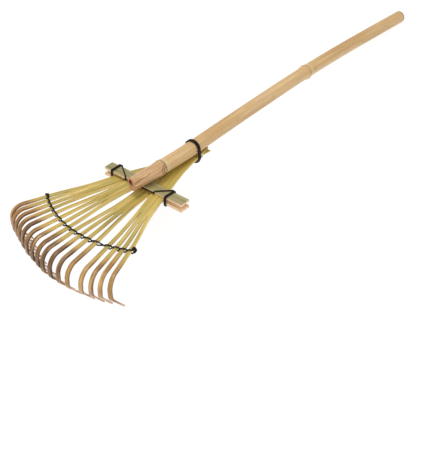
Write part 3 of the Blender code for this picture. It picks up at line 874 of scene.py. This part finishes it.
def dive_points(x, lead):
    """Over the front top edge of the slats at x and down to the wire's front run."""
    away = TIE_RADIUS + 0.15 * MM
    edge = slat_edge_y(x, -1)
    inner_x = x - lead * 3 * MM
    return [
        Vector((x + lead * 3.4 * MM, edge + 2.2 * MM, BAR_TOP_Z + away)),
        Vector((x + lead * 1.4 * MM, edge - 0.5 * MM, BAR_TOP_Z + 0.9 * MM)),
        Vector((x, edge - away - 0.2 * MM, FRONT_RUN_Z + 0.9 * MM)),
        Vector((inner_x, slat_edge_y(inner_x, -1) - away - 0.1 * MM, FRONT_RUN_Z)),
    ]


def build_lashing(material):
    left = wrap_points(LEFT_WRAP_X, TURN_PITCH) + dive_points(LEFT_DIVE_X, -1)
    right = wrap_points(RIGHT_WRAP_X, -TURN_PITCH) + dive_points(RIGHT_DIVE_X, 1)
    points = left + right[::-1]
    wire_object("crossbar_wire", points, TIE_RADIUS, 3, material, "crossbar_lashing")


def spreader_frame(tine):
    """(crossing, direction along the wire, direction across it) at a tine."""
    crossing = tine_crossing(tine)
    slope = 2 * ARC_BEND * (crossing.x - ARC_X)
    along = Vector((1, slope, 0)).normalized()
    return crossing, along, Vector((-along.y, along.x, 0))


def tine_half_span(tine):
    """Half of the width that the wire crosses on a tine."""
    _, along, _ = spreader_frame(tine)
    _, across = tine_axes(tine)
    return TINE_WIDTH / 2 / abs(along.dot(across))


def strand_over(tine, side):
    """A strand's points across a tine, above it (side 1) or below it (side -1)."""
    crossing, along, across = spreader_frame(tine)
    edge = tine_half_span(tine) + 0.15 * MM
    away = SPREADER_RADIUS + 0.25 * MM
    height = THICKNESS / 2
    swing = side * STRAND_SWING
    slack = STRAND_SLACK * (1 + 0.6 * wave(tine + 3, 0.4)) if side > 0 else 0
    steps = (
        (-edge - 0.75 * away, height + 0.5 * away, -swing),
        (0.3 * MM - edge, height + away + 0.6 * slack, -0.56 * swing),
        (0, height + away + slack, 0),
        (edge - 0.3 * MM, height + away + 0.2 * slack, 0.56 * swing),
        (edge + 0.75 * away, height + 0.5 * away, swing),
    )
    return [crossing + along * a + across * c + UP * side * b for a, b, c in steps]


def strand(first_side):
    """One strand over and under all the tines, from tine 1 to tine 16."""
    points = []
    side = first_side
    for tine in range(len(TINE_X)):
        points += strand_over(tine, side)
        if tine + 1 < len(TINE_X):
            here, along, across = spreader_frame(tine)
            there, along_next, _ = spreader_frame(tine + 1)
            edge = here + along * tine_half_span(tine)
            next_edge = there - along_next * tine_half_span(tine + 1)
            points.append((edge + next_edge) / 2 + across * side * (STRAND_SWING + 0.1 * MM))
        side = -side
    return points


def tail(first_side):
    """The twisted end of a strand past tine 16, curled up into a small knot."""
    last = len(TINE_X) - 1
    crossing, along, across = spreader_frame(last)
    start = crossing + along * (tine_half_span(last) + 2.9 * MM)
    points = []
    for i in range(TAIL_STEPS + 1):
        lift = 5.4 * i / TAIL_STEPS
        curl = (1.9 + 0.03 * i) * MM
        outward = along * math.cos(lift) + UP * math.sin(lift)
        inward = UP * math.cos(lift) - along * math.sin(lift)
        middle = start + along * curl * math.sin(lift) + UP * curl * (1 - math.cos(lift))
        middle += outward * 0.03 * MM * i + across * 0.24 * MM * i
        turn = math.tau * 2.6 * i / TAIL_STEPS
        offset = across * math.cos(turn) + inward * math.sin(turn)
        points.append(middle + offset * (SPREADER_RADIUS + 0.08 * MM) * first_side)
    return points


def eye():
    """The bight of the wire: three times round tine 1, side by side."""
    crossing, along, across = spreader_frame(0)
    half = tine_half_span(0)
    height = THICKNESS / 2 + SPREADER_RADIUS + 0.25 * MM
    points = []
    for i in range(EYE_STEPS + 1):
        a = math.radians(70 - 860 * i / EYE_STEPS)
        x, z = (math.copysign(abs(c) ** 0.7, c) for c in (math.cos(a), math.sin(a)))
        reach = half + SPREADER_RADIUS + (1.1 if x > 0 else 0.15) * MM
        spread = (-1.2 + 4.4 * i / EYE_STEPS) * SPREADER_RADIUS
        points.append(crossing - along * reach * x + UP * height * z + across * spread)
    return points


def build_spreader(material):
    """Both strands, twined over and under the tines in opposite turns."""
    last_side = 1 if len(TINE_X) % 2 else -1
    upper = strand(1) + tail(last_side)
    lower = strand(-1) + tail(-last_side)
    points = upper[::-1] + eye() + lower
    wire_object("spreader_strands", points, STRAND_RADIUS, 4, material, "spreader_wire")


# ---- materials


class Nodes:
    """Short calls for building one procedural material."""

    def __init__(self, name):
        self.material = bpy.data.materials.new(name)
        self.material.use_nodes = True
        self.tree = self.material.node_tree
        self.shader = self.tree.nodes["Principled BSDF"]

    def add(self, kind, inputs, **settings):
        """A new node; each input is a constant or another node's output."""
        node = self.tree.nodes.new(kind)
        for key, value in settings.items():
            setattr(node, key, value)
        for key, value in inputs.items():
            self.put(node.inputs[key], value)
        return node

    def put(self, socket, value):
        if isinstance(value, bpy.types.NodeSocket):
            self.tree.links.new(value, socket)
        else:
            socket.default_value = value

    def uv(self, name, scale):
        """The named UV map, scaled. The map "grain" is in metres along and across."""
        source = self.add("ShaderNodeUVMap", {}, uv_map=name)
        inputs = {"Vector": source.outputs["UV"], "Scale": (*scale, 1)}
        return self.add("ShaderNodeMapping", inputs).outputs["Vector"]

    def split(self, vector):
        return self.add("ShaderNodeSeparateXYZ", {0: vector}).outputs

    def noise(self, vector, scale=1.0, detail=3.0, rough=0.55):
        inputs = {"Vector": vector, "Scale": scale, "Detail": detail, "Roughness": rough}
        return self.add("ShaderNodeTexNoise", inputs).outputs["Fac"]

    def grain(self, scale, detail=3.0, rough=0.55):
        """Noise drawn out along the grain; scale is (along, across) per metre."""
        return self.noise(self.uv("grain", scale), detail=detail, rough=rough)

    def ramp(self, factor, *stops):
        """A colour ramp; each stop is (place, colour) or (place, grey)."""
        node = self.add("ShaderNodeValToRGB", {"Fac": factor})
        elements = node.color_ramp.elements
        while len(elements) < len(stops):
            elements.new(0.5)
        for element, (place, colour) in zip(elements, stops):
            element.position = place
            grey = isinstance(colour, (int, float))
            element.color = (colour, colour, colour, 1) if grey else (*colour, 1)
        return node.outputs["Color"]

    def mix(self, factor, a, b, blend="MIX"):
        a, b = (c if isinstance(c, bpy.types.NodeSocket) else (*c, 1) for c in (a, b))
        inputs = {0: factor, 6: a, 7: b}
        return self.add("ShaderNodeMix", inputs, data_type="RGBA", blend_type=blend).outputs[2]

    def cover(self, colour, over, factor, *stops):
        """The colour with another over it where a ramp is high."""
        return self.mix(self.ramp(factor, *stops), colour, over)

    def tint(self, share, colour, factor, *stops):
        """The colour multiplied, to this share, by a ramp."""
        return self.mix(share, colour, self.ramp(factor, *stops), "MULTIPLY")

    def math(self, operation, a, b=0.0, clamp=False):
        inputs = {0: a, 1: b}
        return self.add("ShaderNodeMath", inputs, operation=operation, use_clamp=clamp).outputs[0]

    def plus(self, a, b):
        return self.math("ADD", a, b)

    def minus(self, a, b):
        return self.math("SUBTRACT", a, b)

    def times(self, a, b, clamp=False):
        return self.math("MULTIPLY", a, b, clamp)

    def apart(self, a, b):
        return self.math("ABSOLUTE", self.minus(a, b))

    def distance(self, a, b):
        """The length of the vector (a, b)."""
        return self.math("SQRT", self.plus(self.math("POWER", a, 2), self.math("POWER", b, 2)))

    def bump(self, height, strength, distance):
        inputs = {"Height": height, "Strength": strength, "Distance": distance}
        normal = self.add("ShaderNodeBump", inputs).outputs["Normal"]
        self.put(self.shader.inputs["Normal"], normal)

    def surface(self, colour, roughness, specular=0.5, coat=0.0, metallic=0.0):
        """The finished material."""
        inputs = {"Base Color": colour, "Roughness": roughness, "Metallic": metallic}
        inputs |= {"Specular IOR Level": specular, "Coat Weight": coat, "Coat Roughness": 0.3}
        for key, value in inputs.items():
            self.put(self.shader.inputs[key], value)
        return self.material


def srgb(r, g, b):
    """A colour given as display values from 0 to 255."""
    return tuple(
        c / 255 / 12.92 if c <= 10 else ((c / 255 + 0.055) / 1.055) ** 2.4 for c in (r, g, b)
    )


def bamboo_face(name, tones, burnt, reach, streak, gloss, coat, fibre_bump):
    """A face of split bamboo: fibres along it, drifting tones, browned hooks with painted
    highlight streaks, pale tips.
    """
    n = Nodes(name)
    dark, middle, light, accent = (srgb(*tone) for tone in tones)
    # burnt holds the light and deep browned tones, then pale: a painted highlight tone laid in
    # streaks over the browning.
    light_burn, deep_burn, pale = (srgb(*tone) for tone in burnt)
    broad = n.grain((7, 210), detail=2)
    strands = n.grain((5, 620), rough=0.6)
    fibres = n.grain((14, 1500), detail=4, rough=0.6)
    threads = n.grain((40, 4200), detail=2)
    patch = n.grain((11, 90), rough=0.6)
    colour = n.ramp(broad, (0.3, dark), (0.5, middle), (0.7, light))
    colour = n.cover(colour, accent, patch, (0.46, 0.0), (0.66, streak))
    colour = n.tint(0.9, colour, strands, (0.3, 0.68), (0.5, 1.0), (0.7, 1.18))
    colour = n.tint(0.7, colour, fibres, (0.36, 0.74), (0.5, 1.0), (0.64, 1.12))
    colour = n.tint(0.6, colour, threads, (0.38, 0.72), (0.52, 1.0), (0.64, 1.08))
    warmth, tone, _ = n.split(n.uv("burn", (1, 1)))
    heat = n.math("MINIMUM", warmth, 1.0)
    scorch = n.grain((30, 330), detail=4, rough=0.6)
    amount = n.times(heat, n.plus(scorch, 0.5), clamp=True)
    orange = n.grain((17, 120))
    light_burn = n.cover(light_burn, srgb(180, 122, 52), orange, (0.48, 0.0), (0.62, 0.8))
    depth = n.times(amount, n.plus(tone, n.times(scorch, 0.5)))
    browned = n.cover(light_burn, deep_burn, depth, (0.34, 0.0), (1.0, 1.0))
    # Painted highlight: pale streaks along the grain of the browned part stand for its gloss
    # catching the light.
    painted_highlight_streaks = n.grain((22, 260), detail=2)
    browned = n.cover(browned, pale, painted_highlight_streaks, (0.52, 0.0), (0.68, 0.7))
    colour = n.mix(n.times(amount, reach, clamp=True), colour, browned)
    past = n.minus(n.times(warmth, 1.3), 1.3)
    tip = n.times(past, n.plus(scorch, 0.5), clamp=True)
    worn = n.ramp(scorch, (0.4, srgb(176, 142, 116)), (0.6, srgb(222, 192, 164)))
    colour = n.mix(tip, colour, worn)
    height = n.plus(n.times(fibres, 0.5), n.times(strands, 0.6))
    n.bump(n.plus(height, n.times(threads, 0.3)), fibre_bump, 0.4 * MM)
    rough = n.ramp(fibres, (0.3, gloss + 0.1), (0.7, gloss))
    return n.surface(colour, rough, specular=0.4, coat=coat)


def culm_skin():
    """The outside of the culm: straw and tan streaks, dark node rings and small scars."""
    n = Nodes("culm_skin")
    along, round_it, _ = n.split(n.uv("grain", (1, 1)))
    broad = n.grain((4, 90))
    streaks = n.grain((6, 330), rough=0.6)
    fibres = n.grain((9, 1100), detail=4, rough=0.6)
    blotch = n.grain((30, 90), detail=4, rough=0.65)
    colour = n.ramp(
        broad, (0.3, srgb(190, 148, 92)), (0.47, srgb(206, 168, 114)), (0.66, srgb(216, 184, 138))
    )
    colour = n.cover(colour, srgb(188, 156, 92), blotch, (0.5, 0.0), (0.72, 0.5))
    near = n.ramp(n.plus(n.times(along, 6), 0.2), (0.06, 1.0), (0.44, 0.75), (0.5, 0.0))
    marks = n.grain((22, 300), rough=0.6)
    pink = n.ramp(
        marks, (0.36, srgb(134, 88, 52)), (0.46, srgb(190, 146, 102)), (0.62, srgb(216, 178, 134))
    )
    colour = n.mix(n.times(near, 0.8), colour, pink)
    colour = n.tint(0.5, colour, streaks, (0.3, 0.8), (0.5, 1.0), (0.7, 1.1))
    colour = n.tint(0.7, colour, fibres, (0.36, 0.8), (0.5, 1.0), (0.64, 1.08))
    threads = n.grain((24, 3200), detail=2)
    colour = n.tint(0.7, colour, threads, (0.36, 0.84), (0.5, 1.0), (0.64, 1.05))
    wobble = n.times(blotch, 0.0008)
    far_end = n.times(n.minus(along, FAR_Y - 8 * MM), 125)
    colour = n.cover(colour, srgb(150, 110, 66), far_end, (0.2, 0.0), (0.9, 0.6))
    for node in NODE_Y:
        ring = n.times(n.plus(n.apart(along, node + RIDGE_TO_RING), wobble), 230)
        colour = n.cover(colour, srgb(62, 42, 24), ring, (0.2, 0.95), (0.6, 0.0))
        ring = n.times(n.plus(n.apart(along, node - 3.2 * MM), wobble), 300)
        colour = n.cover(colour, srgb(130, 94, 54), ring, (0.1, 0.45), (0.4, 0.0))
        wax = n.times(n.apart(along, node + 7 * MM), 130)
        colour = n.cover(colour, srgb(216, 192, 150), wax, (0.1, 0.4), (0.9, 0.0))
    bud_end = NODE_Y[0] + RIDGE_TO_RING
    far_along = n.times(n.minus(along, bud_end), 1 / (9 * MM))
    bud_place = (BUD_ANGLE + math.pi / 2) * CULM_RADIUS
    far_round = n.times(n.minus(round_it, bud_place), 1 / (7.5 * MM))
    scar = n.plus(n.distance(far_along, far_round), n.times(blotch, 0.2))
    before_ring = n.math("LESS_THAN", along, bud_end)
    for radius in (1.15, 0.76):
        line = n.ramp(n.times(n.apart(scar, radius), 4), (0.1, 0.85), (0.6, 0.0))
        colour = n.mix(n.times(line, before_ring), colour, srgb(92, 62, 36))
    specks = n.grain((160, 420), detail=2, rough=0.7)
    colour = n.cover(colour, srgb(120, 84, 46), specks, (0.68, 0.0), (0.78, 0.55))
    pits = n.plus(n.times(near, 0.07), n.grain((34, 260), detail=1))
    colour = n.cover(colour, srgb(104, 66, 38), pits, (0.76, 0.0), (0.8, 0.85))
    n.bump(n.plus(fibres, n.times(blotch, 0.5)), 0.25, 0.4 * MM)
    return n.surface(colour, n.ramp(fibres, (0.3, 0.5), (0.7, 0.38)), specular=0.45, coat=0.15)


def culm_cut():
    """The sawn end of the culm: pale wood with darker fibre bundles, brown round the hollow."""
    n = Nodes("culm_cut")
    place = n.uv("grain", (1, 1))
    cells = n.add("ShaderNodeTexVoronoi", {"Vector": place, "Scale": 1300})
    dots = n.ramp(cells.outputs["Distance"], (0.12, 1.0), (0.38, 0.0))
    cloud = n.noise(place, scale=160, detail=4)
    colour = n.ramp(cloud, (0.35, srgb(178, 126, 86)), (0.65, srgb(212, 166, 124)))
    colour = n.mix(n.times(dots, 0.45), colour, srgb(130, 84, 50))
    x, y, _ = n.split(place)
    away = n.plus(n.distance(x, y), n.times(cloud, 0.002))
    colour = n.cover(colour, srgb(112, 58, 34), n.times(away, 100), (0.46, 0.85), (0.72, 0.0))
    beside = n.minus(n.times(n.minus(x, y), 0.7), n.times(away, 0.62))
    crescent = n.minus(n.times(beside, 0.6), n.apart(away, 6.8 * MM))
    crack = n.times(crescent, 1200)
    colour = n.cover(colour, srgb(66, 36, 24), crack, (0.0, 0.0), (0.6, 0.9))
    n.bump(n.plus(dots, cloud), 0.4, 0.3 * MM)
    return n.surface(colour, n.ramp(cloud, (0.3, 0.8), (0.7, 0.68)))


def culm_hollow():
    """The wall of the hollow, painted dark brown for the shade deep in the bore, in cloudy
    patches.
    """
    n = Nodes("culm_hollow")
    place = n.add("ShaderNodeTexCoord", {}).outputs["Object"]
    cloud = n.noise(place, scale=260, detail=4)
    # Painted shade: the wall is coloured dark to stand for the shade inside the bore.
    colour = n.ramp(cloud, (0.3, srgb(84, 42, 26)), (0.7, srgb(140, 78, 48)))
    n.bump(cloud, 0.4, 0.3 * MM)
    return n.surface(colour, n.ramp(cloud, (0.3, 0.9), (0.7, 0.75)))


def black_wire():
    """Annealed iron wire: near black, with a little brown and worn grey."""
    n = Nodes("annealed_wire")
    coarse = n.grain((60, 200))
    fine = n.grain((400, 1800), detail=2)
    tones = srgb(14, 12, 10), srgb(25, 21, 17), srgb(72, 52, 36)
    colour = n.ramp(coarse, *zip((0.35, 0.58, 0.74), tones))
    n.bump(fine, 0.2, 0.1 * MM)
    return n.surface(colour, n.ramp(fine, (0.3, 0.58), (0.7, 0.42)), specular=0.25, metallic=0.15)


def make_bamboo_faces():
    """Skin, inner face and cut edge of the blades, and skin and split wood of the slats."""
    # Each burnt set is light browned, deep browned, and a pale painted highlight tone for the
    # browned part.
    burnt_skin = ((188, 146, 80), (106, 66, 32), (222, 186, 130))
    burnt_inner = ((160, 114, 70), (80, 48, 30), (176, 134, 92))
    burnt_edge = ((156, 110, 64), (84, 52, 32), (176, 134, 88))
    blade_skin = ((152, 127, 48), (194, 166, 76), (222, 194, 114), (172, 160, 86))
    blade_inner = ((176, 142, 100), (200, 170, 130), (216, 192, 156), (190, 150, 112))
    # Split bamboo is pale, and these edge tones are raised further as painted light, to lighten
    # cut edges that lie in shade, such as the narrow slit walls.
    blade_edge = ((186, 162, 100), (214, 190, 130), (232, 212, 160), (196, 174, 112))
    slat_skin = ((132, 124, 78), (156, 146, 98), (178, 166, 122), (166, 148, 92))
    slat_pale = ((214, 172, 130), (244, 210, 168), (250, 226, 190), (230, 192, 142))
    return (
        bamboo_face("blade_skin", blade_skin, burnt_skin, 0.95, 0.6, 0.38, 0.22, 0.35),
        bamboo_face("blade_inner", blade_inner, burnt_inner, 1.3, 0.5, 0.6, 0.0, 0.5),
        bamboo_face("blade_edge", blade_edge, burnt_edge, 1.3, 0.5, 0.6, 0.0, 0.5),
        bamboo_face("slat_skin", slat_skin, burnt_skin, 0.95, 0.5, 0.45, 0.1, 0.3),
        bamboo_face("slat_pale", slat_pale, burnt_inner, 1.3, 0.5, 0.6, 0.0, 0.5),
    )


# ---- stage


def floor_white():
    """White mostly by its own light, so that shadows on it stay faint."""
    n = Nodes("floor_white")
    n.shader.inputs["Emission Color"].default_value = (1, 1, 1, 1)
    n.shader.inputs["Emission Strength"].default_value = FLOOR_GLOW
    return n.surface((FLOOR_GREY, FLOOR_GREY, FLOOR_GREY, 1), 0.9, specular=0.2)


def area_light(name, place, target, size, watts):
    light = bpy.data.lights.new(name, "AREA")
    light.energy = watts
    light.size = size
    obj = add_object(name, light)
    obj.location = place
    obj.rotation_euler = (Vector(target) - Vector(place)).to_track_quat("-Z", "Y").to_euler()


def build_stage():
    """A white floor, soft light from above and the photograph's camera."""
    scene = bpy.context.scene
    bm = bmesh.new()
    bmesh.ops.create_grid(bm, x_segments=1, y_segments=1, size=FLOOR_SIZE)
    floor = add_object("floor", finish_mesh(bm, "floor", Matrix()))
    floor.location.z = -FLOOR_DROP
    floor.data.materials.append(floor_white())

    world = bpy.data.worlds.new("studio")
    world.use_nodes = True
    background = world.node_tree.nodes["Background"]
    background.inputs["Color"].default_value = (1, 1, 1, 1)
    background.inputs["Strength"].default_value = WORLD_STRENGTH
    scene.world = world
    for light in LIGHTS:
        area_light(*light)

    camera = add_object("camera", bpy.data.cameras.new("camera"))
    camera.data.sensor_fit = "HORIZONTAL"
    camera.data.sensor_width = 36
    camera.data.lens = CAMERA_LENS
    camera.data.clip_start = 0.01
    camera.data.clip_end = 30
    place = Matrix.Translation(CAMERA_PLACE)
    back = -CAMERA_AHEAD.normalized()
    up = back.cross(CAMERA_RIGHT).normalized()
    turn = Matrix((up.cross(back), up, back)).transposed().to_4x4()
    camera.matrix_world = FAN @ place @ turn
    scene.camera = camera
    scene.view_settings.view_transform = "Standard"


def main():
    blade_skin, inner, edge, slat_skin, slat_pale = make_bamboo_faces()
    wire = black_wire()
    build_culm([culm_skin(), culm_cut(), culm_hollow()])
    for blade in range(4):
        build_blade(blade, [blade_skin, inner, edge])
    build_slat("crossbar_upper_slat", 1, [slat_skin, slat_pale, slat_pale], "upper_slat")
    build_slat("crossbar_lower_slat", -1, [slat_pale, slat_skin, slat_pale], "lower_slat")
    build_neck_ring(wire)
    build_lashing(wire)
    build_spreader(wire)
    build_stage()


for leftover in list(bpy.data.objects):
    bpy.data.objects.remove(leftover, do_unlink=True)
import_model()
FAN = fan_matrix()
main()
bpy.context.view_layer.update()
